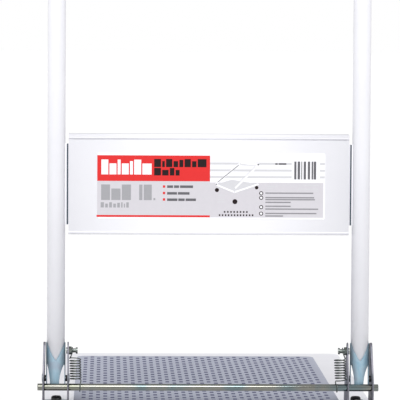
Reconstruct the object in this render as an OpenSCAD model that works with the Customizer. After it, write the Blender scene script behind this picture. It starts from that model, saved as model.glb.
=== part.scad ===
// Folding platform cart: a pressed steel deck with a ribbed mat, a U-bent
// push handle that folds down over the deck when a sprung bar is pressed,
// two swivel casters under the handle end and two fixed casters at the far end.
//
// Millimetres. X is to the right of a person at the handle, +Y runs from the
// handle towards the far end, Z is up and the floor is at 0.

/* [Deck] */
// Deck width
deck_w = 476; // [440:1:560]
// Deck length
deck_l = 730; // [620:1:900]
// Depth of the turned-down edge
deck_edge = 32; // [22:1:40]
// Deck sheet thickness
deck_sheet = 2; // [1.2:0.1:3]
// Radius of the deck's corners seen from above
deck_corner = 18; // [6:1:40]
// Bare deck between each side and the mat
mat_side = 47; // [44:1:90]
// Bare deck between the handle end and the mat
mat_setback = 50; // [46:1:110]
// Bare deck between the far end and the mat
mat_border = 61; // [20:1:110]
// Mat thickness
mat_t = 2; // [1:0.5:6]

/* [Handle] */
// Tube outside diameter
tube_d = 25.4; // [20:0.1:32]
// Tube wall
tube_wall = 1.5; // [1:0.1:3]
// Deck side to the nearer tube's axis
tube_inset = 22; // [20:1:60]
// Handle height above its pivot
handle_h = 650; // [540:1:800]
// Bend radius at the handle's top corners, to the tube's axis
handle_bend = 90; // [50:1:150]
// Handle end to the tubes' axes
handle_inset = 30; // [30:1:60]
// Pivot height above the deck
pivot_up = 38; // [36:1:60]
// Angle the handle folds through
fold_angle = 91.5; // [80:0.5:92]

/* [Cross panel] */
// Panel height
panel_h = 143; // [80:1:200]
// Panel's lower edge above the pivot
panel_up = 205; // [120:1:300]
// Gap from the panel's face to each tube
panel_gap = 4.8; // [3:0.1:20]
// Depth of the panel's rolled edges
panel_deep = 16; // [10:1:22]
// Outside radius of the rolled edges
panel_roll = 6.5; // [4:0.5:10]
// Panel sheet thickness
panel_sheet = 1.5; // [1:0.1:2.5]
// Height of the end tabs welded to the tubes
tab_h = 115; // [60:1:130]
// Label width
label_w = 322; // [200:1:360]
// Label height
label_h = 94; // [60:1:110]
// How far the label sits to the right of the panel's middle
label_side = 3.5; // [-20:0.5:20]
// How far the label sits below the panel's middle
label_drop = 2; // [0:0.5:8]

/* [Brackets and release] */
// Gap between a saddle and each cheek
cheek_play = 2.75; // [1:0.05:6]
// Bracket plate thickness
cheek_t = 2; // [1.5:0.1:4]
// Saddle sheet thickness
saddle_t = 1; // [1:0.1:2]
// Pivot pin diameter
pin_d = 6; // [5:0.5:7]
// Release bar diameter
bar_d = 10; // [8:0.5:12]
// How far the release bar stands out beyond the deck's sides
bar_proud = 3.5; // [1:0.5:15]
// Release bar travel
bar_travel = 9; // [4:0.5:10]
// Spring stud height above the pivot
stud_up = 40; // [30:1:50]
// Spring coil outside diameter
coil_d = 17; // [12:0.5:20]
// Spring wire diameter
wire_d = 2; // [1:0.1:2.6]
// Number of coils
coils = 10; // [5:1:12]

/* [Casters] */
// Wheel diameter
wheel_d = 100; // [75:1:110]
// Wheel width
wheel_w = 30; // [20:1:36]
// Tyre thickness
tyre_t = 12; // [6:1:16]
// Height of the cross rails between the casters and the deck
rail_h = 30; // [16:1:30]
// Deck side to the middle of each caster plate
caster_side = 68; // [60:1:90]
// Distance of the caster plates' middles from the deck's ends
caster_inset = 95; // [90:1:140]
// Swivel trail
trail = 30; // [20:1:34]
// Fork plate thickness
fork_t = 3; // [2:0.5:4]

/* [Hidden] */
$fn = 64;
caster_x = deck_w / 2 - caster_side;
caster_y = deck_l / 2 - caster_inset;
deck_bolt_y = -caster_y;
// named clearances
run = 0.05;      // a pin turning in a bore, on the radius
side = 0.3;      // between faces that move past each other
cut = 1;         // how far a cutter stands out of what it cuts
// handle end of the deck, pivot line and handle
floor_to_plate = wheel_d + 30;
plate_t = 3;
deck_top = floor_to_plate + plate_t + rail_h + deck_sheet;
end_y = -deck_l / 2;
pivot_y = end_y + handle_inset;
pivot_z = deck_top + pivot_up;
tube_r = tube_d / 2;
tube_x = deck_w / 2 - tube_inset;
saddle_in = tube_r + run;
saddle_r = saddle_in + saddle_t;
cheek_up = stud_up + 12;
horn_up = cheek_up - 1;
notch_up = 30;
window_up = 16;
neck_w = 12.8;
neck_shift = -1.8;
// panel
panel_w = 2 * tube_x - tube_d - 2 * panel_gap;
face_y = pivot_y - panel_deep / 2;
panel_mid = pivot_z + panel_up + panel_h / 2;
label_t = 0.4;
tab_t = 2;
// brackets
cheek_in = saddle_r + cheek_play;
cheek_out = cheek_in + cheek_t;
foot_near = handle_inset - 1;
foot_far = 44;
bar_r = bar_d / 2;
bar_l = deck_w + 2 * bar_proud;
bar_back = saddle_r + bar_r + 0.75;
bar_down = 10.5;
bar_y = pivot_y - bar_back;
bar_z = pivot_z - bar_down;
// the saddle's heel passes the bar with this radius about the pivot
heel_r = norm([bar_back, bar_down]) - bar_r - 2 * side;
saddle_low = sqrt(heel_r * heel_r - saddle_r * saddle_r);
bracket_bolts_y = [pivot_y - 14, pivot_y + 8];
slot_r = bar_r + 0.4;
pin_r = pin_d / 2;
bush_r = pin_r + 1.5;
stud_y = pivot_y - 5;
stud_z = pivot_z + stud_up;
stud_r = 3;
stud_l = 11;
spring_x = tube_x - cheek_out - coil_d / 2 - 1.2;
// under the deck
rail_w = 84;
rail_t = 2;
bolt_r = 4;
plate_w = 90;
plate_l = 70;
hole_x = 35;
hole_y = 25;
wheel_r = wheel_d / 2;
hub_r = wheel_r - tyre_t;
axle_r = 4;
race_h = 9;
crown_z = floor_to_plate - race_h - side;
fork_in = wheel_w / 2 + 4;
fork_out = fork_in + fork_t;
king_r = 5;
grey = [0.72, 0.74, 0.76];
zinc = [0.66, 0.74, 0.78];
white = [0.95, 0.95, 0.96];
black = [0.08, 0.08, 0.09];

// ---------------------------------------------------------------- helpers
function arc(x, y, r, a0, a1, n = 8) =
    [for (i = [0:n]) let (a = a0 + (a1 - a0) * i / n) [x + r * cos(a), y + r * sin(a)]];

function corners(w, l, r) = concat(
    arc(w / 2 - r, l / 2 - r, r, 0, 90), arc(-w / 2 + r, l / 2 - r, r, 90, 180),
    arc(-w / 2 + r, -l / 2 + r, r, 180, 270), arc(w / 2 - r, -l / 2 + r, r, 270, 360));

module slab(w, l, h, r, z = 0)
    translate([0, 0, z]) linear_extrude(height = h) polygon(corners(w, l, r));

module block(x0, x1, y0, y1, z0, z1)
    translate([x0, y0, z0]) cube([x1 - x0, y1 - y0, z1 - z0]);

module at_sides() for (s = [-1, 1]) translate([s * tube_x, pivot_y, pivot_z]) children();

// rod along X from x0 to x1
module rod_x(r, x0, x1) translate([x0, 0, 0]) rotate([0, 90, 0]) cylinder(h = x1 - x0, r = r);

module hex_z(across, h) cylinder(h = h, r = across / 2 / cos(30), $fn = 6);

// profile in Y and Z, given a thickness from x0 to x1
module flat_x(x0, x1, pts)
    translate([x0, 0, 0]) rotate([90, 0, 90]) linear_extrude(height = x1 - x0) polygon(pts);

// round wire swept along a list of points
function unit(v) = v / norm(v);
function along(p, i) = unit(p[min(i + 1, len(p) - 1)] - p[max(i - 1, 0)]);
function frames(p, i, n) = let (t = along(p, i), m = unit(n - (n * t) * t))
    i == len(p) - 1 ? [m] : concat([m], frames(p, i + 1, m));
module wire(p, r, sides = 8) {
    fr = frames(p, 0, [1, 0, 0]);
    k = len(p);
    pts = [for (i = [0:k - 1]) let (t = along(p, i), u = fr[i], v = cross(t, u))
        for (j = [0:sides - 1]) p[i] + r * (cos(360 * j / sides) * u + sin(360 * j / sides) * v)];
    skin = [for (i = [0:k - 2]) for (j = [0:sides - 1]) let (a = i * sides + j,
        b = i * sides + (j + 1) % sides) each [[a, b, b + sides], [a, b + sides, a + sides]]];
    ends = [[for (j = [sides - 1:-1:0]) j], [for (j = [0:sides - 1]) (k - 1) * sides + j]];
    polyhedron(points = pts, faces = concat([for (f = skin) [f[0], f[2], f[1]]],
        [for (f = ends) [for (j = [len(f) - 1:-1:0]) f[j]]]));
}
function bend(a, b, c, d, n) = [for (i = [1:n - 1]) let (t = i / n, s = 1 - t)
    s * s * s * a + 3 * s * s * t * b + 3 * s * t * t * c + t * t * t * d];

// ------------------------------------------------------------------- deck
module deck_pan() color(white) difference() {
    slab(deck_w, deck_l, deck_edge, deck_corner, deck_top - deck_edge);
    slab(deck_w - 2 * deck_sheet, deck_l - 2 * deck_sheet, deck_edge, deck_corner - deck_sheet,
        deck_top - deck_edge - deck_sheet);
    for (s = [-1, 1]) translate([s * tube_x, 0, deck_top - deck_sheet - cut]) {
        translate([0, deck_bolt_y, 0]) cylinder(h = deck_sheet + 2 * cut, r = bolt_r);
        for (y = bracket_bolts_y) translate([0, y, 0]) cylinder(h = deck_sheet + 2 * cut, r = bolt_r);
    }
}

module cross_rails() color(grey) for (e = [-1, 1]) translate([0, e * caster_y, 0]) difference() {
    block(-deck_w / 2 + deck_sheet, deck_w / 2 - deck_sheet, -rail_w / 2, rail_w / 2,
        floor_to_plate + plate_t, floor_to_plate + plate_t + rail_h);
    block(-deck_w / 2, deck_w / 2, -rail_w / 2 + rail_t, rail_w / 2 - rail_t,
        floor_to_plate + plate_t + rail_t, floor_to_plate + plate_t + rail_h - rail_t);
    for (s = [-1, 1]) {
        if (e < 0) translate([s * tube_x, deck_bolt_y + caster_y, deck_top - deck_sheet - rail_t - cut])
            cylinder(h = rail_t + 2 * cut, r = bolt_r);
        for (i = [-1, 1]) for (j = [-1, 1])
            translate([s * caster_x + i * hole_x, j * hole_y, floor_to_plate])
                cylinder(h = plate_t + rail_t + cut, r = bolt_r);
    }
}

mat_w = deck_w - 2 * mat_side;
module deck_mat() color([0.55, 0.55, 0.62])
    translate([0, (mat_setback - mat_border) / 2, 0])
        slab(mat_w, deck_l - mat_setback - mat_border, mat_t, 15, deck_top);

// --------------------------------------------------------------- brackets
// cheek outline in Y and Z about the pivot
function cheek_outline() = concat(
    [[-foot_near, -pivot_up]],
    [[foot_far, -pivot_up]],
    [[foot_far - 2, -pivot_up + 8]],
    arc(-1, cheek_up - 11, 11, 22, 165, 8),
    arc(-foot_near + 7, -2, 7, 148, 180, 3));

module bracket() color(zinc) {
    difference() {
        union() {
            for (x = [-cheek_out, cheek_in]) flat_x(x, x + cheek_t, cheek_outline());
            block(-cheek_in - 0.5, cheek_in + 0.5, -foot_near, foot_far, -pivot_up, -pivot_up + cheek_t);
        }
        // pivot hole and the bar's slots
        rod_x(pin_r, -cheek_out - cut, cheek_out + cut);
        translate([0, bar_y - pivot_y, bar_z - pivot_z]) {
            rod_x(slot_r, -cheek_out - cut, cheek_out + cut);
            translate([0, 0, -bar_travel]) rod_x(slot_r, -cheek_out - cut, cheek_out + cut);
            block(-cheek_out - cut, cheek_out + cut, -slot_r, slot_r, -bar_travel, 0);
        }
        // stud hole, only in the cheek nearest the middle
        translate([0, stud_y - pivot_y, stud_up]) rod_x(stud_r, cheek_in - cut, cheek_out + cut);
        // foot bolts
        for (y = bracket_bolts_y) translate([0, y - pivot_y, -pivot_up - cut])
            cylinder(h = cheek_t + 2 * cut, r = bolt_r);
    }
}
module bracket_left() translate([-tube_x, pivot_y, pivot_z]) bracket();
module bracket_right() translate([tube_x, pivot_y, pivot_z]) mirror([1, 0, 0]) bracket();

// round-headed bolt standing on z = 0, shank down
module round_bolt(l) {
    difference() {
        cylinder(h = 5, r1 = 7.5, r2 = 6.2);
        translate([0, 0, 2.5]) hex_z(5, 3);
    }
    translate([0, 0, -l]) cylinder(h = l + 1, r = bolt_r - run);
}
module bracket_bolts() color(black) for (s = [-1, 1]) for (y = bracket_bolts_y)
    translate([s * tube_x, y, deck_top + cheek_t]) round_bolt(14);
module bracket_nuts() color(black) for (s = [-1, 1]) for (y = bracket_bolts_y)
    translate([s * tube_x, y, deck_top - deck_sheet - 6]) nut(6);
module deck_bolts() color(black) for (s = [-1, 1])
    translate([s * tube_x, deck_bolt_y, deck_top]) round_bolt(14);
module deck_nuts() color(black) for (s = [-1, 1])
    translate([s * tube_x, deck_bolt_y, deck_top - deck_sheet - rail_t - 6]) nut(6);
module nut(h) difference() {
    hex_z(13, h);
    translate([0, 0, -cut]) cylinder(h = h + 2 * cut, r = bolt_r - run);
}

// ------------------------------------------------------------------ pivot
module pivot_pins() color(zinc) at_sides() {
    rod_x(pin_r, -cheek_out - 1, cheek_out + 1);
    rod_x(6.5, cheek_out, cheek_out + 1.5);
    rod_x(6.5, -cheek_out - 1.5, -cheek_out);
}

module pivot_bushes() color(black) at_sides() difference() {
    union() {
        rod_x(bush_r, -cheek_in + side, cheek_in - side);
    }
    rod_x(pin_r + run, -cheek_in - cut, cheek_in + cut);
}

module spring_studs() color(zinc) for (s = [-1, 1])
    translate([s * tube_x, stud_y, stud_z]) mirror([s < 0 ? 0 : 1, 0, 0]) {
        rod_x(stud_r, cheek_in - 1, cheek_out + stud_l);
        rod_x(4.6, cheek_in - 1.6, cheek_in);
        rod_x(4.6, cheek_out + stud_l - 1, cheek_out + stud_l + 1.5);
    }

module stud_nuts() color(zinc) for (s = [-1, 1])
    translate([s * tube_x, stud_y, stud_z]) mirror([s < 0 ? 0 : 1, 0, 0])
        difference() {
            translate([cheek_out, 0, 0]) rotate([0, 90, 0]) hex_z(10, 4);
            rod_x(stud_r, cheek_out - cut, cheek_out + 4 + cut);
        }

// ----------------------------------------------------------------- handle
module quarter(r, solid_r) rotate_extrude(angle = 90) translate([r, 0]) circle(r = solid_r);

module handle_solid(r, low) {
    top = handle_h - tube_r - handle_bend;
    for (s = [-1, 1]) translate([s * tube_x, 0, low]) cylinder(h = top - low, r = r);
    for (s = [-1, 1]) translate([s * (tube_x - handle_bend), 0, top]) rotate([90, 0, 0])
        mirror([s < 0 ? 1 : 0, 0, 0]) quarter(handle_bend, r);
    translate([0, 0, handle_h - tube_r]) rod_x(r, -tube_x + handle_bend, tube_x - handle_bend);
}
module handle_tube() color(white) translate([0, pivot_y, pivot_z]) difference() {
    handle_solid(tube_r, -8);
    handle_solid(tube_r - tube_wall, -8 - cut);
    for (s = [-1, 1]) translate([s * tube_x, 0, 0]) rod_x(bush_r, -tube_r - cut, tube_r + cut);
}

// panel section in Y and Z, open at the back
function panel_section(h, r, y0) = concat(
    [[y0 + panel_deep, -h / 2]], [for (p = arc(y0 + r, -h / 2 + r, r, 270, 180)) p],
    [for (p = arc(y0 + r, h / 2 - r, r, 180, 90)) p], [[y0 + panel_deep, h / 2]]);

module handle_panel() color(white) difference() {
    union() {
        translate([0, 0, panel_mid]) difference() {
            flat_x(-panel_w / 2, panel_w / 2, panel_section(panel_h, panel_roll, face_y));
            flat_x(-panel_w / 2 - cut, panel_w / 2 + cut, panel_section(panel_h - 2 * panel_sheet,
                panel_roll - panel_sheet, face_y + panel_sheet));
        }
        for (s = [-1, 1]) translate([s * (tube_x - 20), 0, panel_mid])
            block(-17, 17, face_y + panel_sheet - 0.2, face_y + panel_sheet + tab_t, -tab_h / 2, tab_h / 2);
    }
    for (s = [-1, 1]) translate([s * tube_x, pivot_y, pivot_z]) cylinder(h = handle_h, r = tube_r);
}

module panel_label() color([0.93, 0.25, 0.25])
    block(label_side - label_w / 2, label_side + label_w / 2, face_y - label_t, face_y,
        panel_mid - label_drop - label_h / 2, panel_mid - label_drop + label_h / 2);

// sheet saddle round the operator's side of the tube, open at the back
module saddle() color(zinc) difference() {
    translate([0, 0, -saddle_low]) cylinder(h = horn_up + saddle_low, r = saddle_r);
    translate([0, 0, -saddle_low - cut]) cylinder(h = horn_up + saddle_low + 2 * cut, r = saddle_in);
    block(-saddle_r - cut, saddle_r + cut, 9, saddle_r + cut, -saddle_low - cut, horn_up + cut);
    // V notch between the horns
    translate([0, saddle_r + cut, 0]) rotate([90, 0, 0]) linear_extrude(height = 2 * saddle_r + 2 * cut)
        polygon([[-14, horn_up + cut], [-9.5, 41], [0, notch_up], [9.5, 41], [14, horn_up + cut]]);
    // windows either side of the neck
    translate([0, 0, 0]) rotate([90, 0, 0]) linear_extrude(height = saddle_r + cut) {
        polygon([[neck_shift - neck_w / 2, -7], [neck_shift - neck_w / 2, 6], [-10.6, window_up],
            [-12, window_up - 6], [-12, -7]]);
        polygon([[neck_shift + neck_w / 2, -7], [neck_shift + neck_w / 2, 6], [8.6, window_up],
            [11.2, window_up - 4], [10.4, 0], [9.2, -7]]);
    }
    rod_x(bush_r, -saddle_r - cut, saddle_r + cut);
}
module saddle_left() translate([-tube_x, pivot_y, pivot_z]) saddle();
module saddle_right() translate([tube_x, pivot_y, pivot_z]) saddle();

// ---------------------------------------------------------------- release
module release_bar() color([0.8, 0.8, 0.7]) translate([0, bar_y, bar_z]) {
    rod_x(bar_r, -bar_l / 2 + 1, bar_l / 2 - 1);
    for (s = [-1, 1]) translate([s * (bar_l / 2 - 1), 0, 0]) rotate([0, s * 90, 0])
        cylinder(h = 1, r1 = bar_r, r2 = bar_r - 1);
}

// spring wire: hook round the bar, coils, hook round the stud; +X away from the cheek
function spring_path(l) = let (cr = (coil_d - wire_d) / 2, rb = bar_r + wire_d / 2 + 0.5,
        rt = stud_r + wire_d / 2 + 0.5, body = coils * (l - 20) / (coils + 0.5), z0 = 10.5,
        hb = cr - 2, ht = -cr + 3.6, tilt = (stud_y - bar_y) / l,
        a0 = 40, a1 = a0 + coils * 360 - 220,
        helix = [for (i = [0:coils * 18]) let (t = i / (coils * 18), a = a0 + (a1 - a0) * t)
            [cr * cos(a), cr * sin(a), z0 + body * t]],
        s = helix[0], e = helix[len(helix) - 1],
        low = [for (a = [310:-20:90]) [hb, rb * sin(a), rb * cos(a)]],
        high = [for (a = [90:-20:-130]) [ht, -rt * sin(a), l + rt * cos(a)]],
        t0 = [-sin(a0), cos(a0), 0], t1 = [-sin(a1), cos(a1), 0])
    concat(low, bend(low[len(low) - 1], low[len(low) - 1] + [0, 0, 6], s - 5 * t0 - [0, 0, 0.6], s, 7),
        helix, bend(e, e + 5 * t1 + [0, 0, 0.6], high[0] - [0, 0, 5], high[0], 7), high);

module spring() {
    l = norm([stud_y - bar_y, stud_z - bar_z]);
    rotate([-atan2(stud_y - bar_y, stud_z - bar_z), 0, 0]) wire(spring_path(l), wire_d / 2);
}
module spring_left() color([0.2, 0.2, 0.2]) translate([-spring_x, bar_y, bar_z]) spring();
module spring_right() color([0.2, 0.2, 0.2])
    translate([spring_x, bar_y, bar_z]) mirror([1, 0, 0]) spring();

// ---------------------------------------------------------------- casters
module caster_plate(bore) difference() {
    block(-plate_w / 2, plate_w / 2, -plate_l / 2, plate_l / 2, 0, plate_t);
    for (i = [-1, 1]) for (j = [-1, 1]) translate([i * hole_x, j * hole_y, -cut])
        cylinder(h = plate_t + 2 * cut, r = bolt_r);
    if (bore) translate([0, 0, -cut]) cylinder(h = plate_t + 2 * cut, r = king_r);
}
module swivel_plates() color(zinc) for (s = [-1, 1])
    translate([s * caster_x, -caster_y, floor_to_plate]) caster_plate(true);

// pressed race under each swivel plate
module swivel_races() color(zinc) for (s = [-1, 1])
    translate([s * caster_x, -caster_y, floor_to_plate - race_h]) difference() {
        cylinder(h = race_h, r1 = 22, r2 = 26);
        translate([0, 0, -cut]) cylinder(h = race_h + 2 * cut, r = king_r);
    }

module kingpins() color(zinc) for (s = [-1, 1]) translate([s * caster_x, -caster_y, 0]) {
    translate([0, 0, crown_z - fork_t - side - 5]) hex_z(15, 5);
    translate([0, 0, crown_z - fork_t - side - 1])
        cylinder(h = floor_to_plate + plate_t - crown_z + fork_t + side + 1, r = king_r);
}

// fork legs and crown; the wheel's axle is at y = -back
module fork(top, back, bore_r) {
    difference() {
        union() {
            block(-fork_out, fork_out, -back / 2 - 24, 24, top - fork_t, top);
            for (x = [-fork_out, fork_in]) flat_x(x, x + fork_t, concat(
                [[24, top], [24, top - 6]],
                arc(-back, wheel_r, 13, 0, -180, 10),
                [[-back / 2 - 24, top - 6], [-back / 2 - 24, top]]));
        }
        if (bore_r > 0) translate([0, 0, top - fork_t - cut]) cylinder(h = fork_t + 2 * cut, r = bore_r);
        translate([0, -back, wheel_r]) rod_x(axle_r, -fork_out - cut, fork_out + cut);
    }
}
module swivel_fork(s) color(zinc) translate([s * caster_x, -caster_y, 0])
    fork(crown_z, trail, king_r + run);
module swivel_fork_left() swivel_fork(-1);
module swivel_fork_right() swivel_fork(1);

module fixed_forks() color(zinc) for (s = [-1, 1]) translate([s * caster_x, caster_y, 0]) {
    fork(floor_to_plate, 0, 0);
    translate([0, 0, floor_to_plate]) caster_plate(false);
}

module axle() {
    rod_x(axle_r, -fork_out - 1, fork_out + 8);
    translate([-fork_out, 0, 0]) rotate([0, -90, 0]) hex_z(13, 5);
    translate([fork_out, 0, 0]) rotate([0, 90, 0]) hex_z(13, 6);
}
module swivel_axle_left() color(zinc) translate([-caster_x, -caster_y - trail, wheel_r]) axle();
module swivel_axle_right() color(zinc) translate([caster_x, -caster_y - trail, wheel_r]) axle();
module fixed_axles() color(zinc) for (s = [-1, 1]) translate([s * caster_x, caster_y, wheel_r]) axle();

module hub() difference() {
    union() {
        rod_x(hub_r, -wheel_w / 2 + 9, wheel_w / 2 - 9);
        difference() {
            rod_x(hub_r, -wheel_w / 2 + 1, wheel_w / 2 - 1);
            rod_x(hub_r - 5, -wheel_w / 2, wheel_w / 2);
        }
        rod_x(11, -fork_in + side, fork_in - side);
    }
    rod_x(axle_r + run, -fork_in - cut, fork_in + cut);
}
module tyre() difference() {
    union() {
        rod_x(wheel_r, -wheel_w / 2 + 5, wheel_w / 2 - 5);
        for (s = [-1, 1]) translate([s * (wheel_w / 2 - 5), 0, 0]) rotate([0, s * 90, 0])
            cylinder(h = 5, r1 = wheel_r, r2 = wheel_r - 5);
    }
    rod_x(hub_r, -wheel_w, wheel_w);
}
module wheel_at(x, y) translate([x, y, wheel_r]) children();
module swivel_hub_left() color(grey) wheel_at(-caster_x, -caster_y - trail) hub();
module swivel_tyre_left() color(black) wheel_at(-caster_x, -caster_y - trail) tyre();
module swivel_hub_right() color(grey) wheel_at(caster_x, -caster_y - trail) hub();
module swivel_tyre_right() color(black) wheel_at(caster_x, -caster_y - trail) tyre();
module fixed_hub_left() color(grey) wheel_at(-caster_x, caster_y) hub();
module fixed_tyre_left() color(black) wheel_at(-caster_x, caster_y) tyre();
module fixed_hub_right() color(grey) wheel_at(caster_x, caster_y) hub();
module fixed_tyre_right() color(black) wheel_at(caster_x, caster_y) tyre();

// bolts from below through plate and rail, nuts inside the rail
module caster_bolts() color(zinc) each_hole() {
    translate([0, 0, -5]) hex_z(11, 5);
    translate([0, 0, -1]) cylinder(h = 1 + plate_t + rail_t + 7, r = bolt_r - run);
}
module caster_nuts() color(zinc) each_hole() translate([0, 0, plate_t + rail_t]) nut(6);
module each_hole() for (s = [-1, 1]) for (e = [-1, 1]) for (i = [-1, 1]) for (j = [-1, 1])
    translate([s * caster_x + i * hole_x, e * caster_y + j * hole_y, floor_to_plate]) children();

deck_pan();
cross_rails();
deck_mat();
bracket_left();
bracket_right();
bracket_bolts();
bracket_nuts();
deck_bolts();
deck_nuts();
pivot_pins();
spring_studs();
stud_nuts();
handle_tube();
handle_panel();
panel_label();
saddle_left();
saddle_right();
pivot_bushes();
release_bar();
spring_left();
spring_right();
swivel_plates();
swivel_races();
kingpins();
fixed_forks();
fixed_axles();
caster_bolts();
caster_nuts();
swivel_fork_left();
swivel_fork_right();
swivel_axle_left();
swivel_axle_right();
swivel_hub_left();
swivel_tyre_left();
swivel_hub_right();
swivel_tyre_right();
fixed_hub_left();
fixed_tyre_left();
fixed_hub_right();
fixed_tyre_right();
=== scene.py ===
"""Looks of a folding platform cart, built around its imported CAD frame.

Every sub-assembly is a class with its sizes in millimetres, in the frame of the
CAD part: X to the right of a person at the handle, +Y away from them, Z up.
"""

import logging
import math
from dataclasses import dataclass, field
from enum import Enum

import bmesh
import bpy
from mathutils import Matrix, Vector

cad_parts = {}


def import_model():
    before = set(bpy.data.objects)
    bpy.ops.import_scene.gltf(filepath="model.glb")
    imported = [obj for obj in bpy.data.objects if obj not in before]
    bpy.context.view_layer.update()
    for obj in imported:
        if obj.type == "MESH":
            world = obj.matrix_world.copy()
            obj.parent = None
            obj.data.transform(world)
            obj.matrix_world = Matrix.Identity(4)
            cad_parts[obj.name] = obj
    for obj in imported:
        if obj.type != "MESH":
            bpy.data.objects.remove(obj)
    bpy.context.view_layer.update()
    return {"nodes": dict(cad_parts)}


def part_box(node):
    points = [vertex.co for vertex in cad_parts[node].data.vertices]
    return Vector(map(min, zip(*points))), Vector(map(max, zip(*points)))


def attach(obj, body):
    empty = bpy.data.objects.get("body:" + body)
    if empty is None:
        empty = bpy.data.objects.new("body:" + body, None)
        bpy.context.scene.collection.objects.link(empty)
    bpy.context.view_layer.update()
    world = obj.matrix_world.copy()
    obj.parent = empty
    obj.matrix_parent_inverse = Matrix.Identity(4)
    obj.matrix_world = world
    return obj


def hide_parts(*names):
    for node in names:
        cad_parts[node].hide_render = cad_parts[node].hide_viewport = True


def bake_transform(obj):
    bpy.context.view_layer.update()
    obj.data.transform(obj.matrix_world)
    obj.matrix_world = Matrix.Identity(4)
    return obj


log = logging.getLogger("cart")

MM = 0.001

Point = tuple[float, float, float]
Flat = tuple[float, float]
Mesh = bmesh.types.BMesh
Edge = bmesh.types.BMEdge
Vert = bmesh.types.BMVert
Tree = bpy.types.NodeTree

# where the handle turns: the tubes' distance from the middle, along the deck, above the floor
TUBE_X, PIVOT_Y, PIVOT_Z = 216.0, -335.0, 203.0
SIDES = (("left", -1), ("right", 1))


# ---------------------------------------------------------------- colours and nodes
def linear(hex_colour: str) -> tuple[float, float, float, float]:
    """Turns an sRGB hex colour into linear light.

    Args:
        hex_colour: six hex digits, with or without a leading #.

    Returns:
        Red, green, blue and alpha in linear light.
    """
    digits = hex_colour.lstrip("#")
    parts = [int(digits[i : i + 2], 16) / 255 for i in (0, 2, 4)]
    light = [c / 12.92 if c <= 0.04045 else ((c + 0.055) / 1.055) ** 2.4 for c in parts]
    return (light[0], light[1], light[2], 1.0)


def add_node(tree: Tree, kind: str, inputs: dict | None = None, **settings: object) -> bpy.types.Node:
    """Adds one shader node.

    Args:
        tree: the material's node tree.
        kind: the node's type name.
        inputs: socket name or number to a value or to a socket that feeds it.
        settings: properties of the node itself.

    Returns:
        The new node.
    """
    node = tree.nodes.new(kind)
    for name, value in settings.items():
        setattr(node, name, value)
    for key, value in (inputs or {}).items():
        if isinstance(value, bpy.types.NodeSocket):
            tree.links.new(value, node.inputs[key])
        else:
            node.inputs[key].default_value = value
    return node


def new_tree(name: str) -> tuple[bpy.types.Material, Tree, bpy.types.Node, bpy.types.NodeSocket]:
    """Starts a material.

    Args:
        name: the material's name.

    Returns:
        The material, its tree, its Principled shader and its object coordinates.
    """
    material = bpy.data.materials.new(name)
    material.use_nodes = True
    tree = material.node_tree
    shader = tree.nodes["Principled BSDF"]
    where = add_node(tree, "ShaderNodeTexCoord").outputs["Object"]
    return material, tree, shader, where


def grains(size_mm: float) -> float:
    """Noise scale that gives features of a real size.

    Args:
        size_mm: the size of one feature.

    Returns:
        The scale of a noise texture that reads coordinates in metres.
    """
    return 1 / (size_mm * MM)


# ---------------------------------------------------------------- finishes
@dataclass(frozen=True)
class PowderCoat:
    """Polyester powder coat, sprayed and baked: glossy, with a fine orange peel."""

    name: str = "white_powder_coat_baked"
    light: str = "EBEBF0"
    dark: str = "E6E6EC"
    peel_mm: float = 1.6
    roughness: float = 0.45
    gleam: float = 0.3

    def make(self) -> bpy.types.Material:
        """Builds the material.

        Returns:
            The material.
        """
        material, tree, shader, where = new_tree(self.name)
        cloud = add_node(tree, "ShaderNodeTexNoise", {"Vector": where, "Scale": grains(60), "Detail": 2.0})
        tint = add_node(
            tree, "ShaderNodeMix",
            {"Factor": cloud.outputs["Fac"], "A": linear(self.light), "B": linear(self.dark)},
            data_type="RGBA",
        )
        peel = add_node(
            tree, "ShaderNodeTexNoise", {"Vector": where, "Scale": grains(self.peel_mm), "Detail": 1.0}
        )
        bump = add_node(
            tree, "ShaderNodeBump", {"Height": peel.outputs["Fac"], "Strength": 0.12, "Distance": 0.0002}
        )
        gloss = add_node(
            tree, "ShaderNodeMapRange",
            {"Value": cloud.outputs["Fac"], "To Min": self.roughness - 0.04, "To Max": self.roughness + 0.05},
        )
        tree.links.new(tint.outputs["Result"], shader.inputs["Base Color"])
        tree.links.new(gloss.outputs["Result"], shader.inputs["Roughness"])
        tree.links.new(bump.outputs["Normal"], shader.inputs["Normal"])
        shader.inputs["Specular IOR Level"].default_value = self.gleam
        return material


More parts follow.
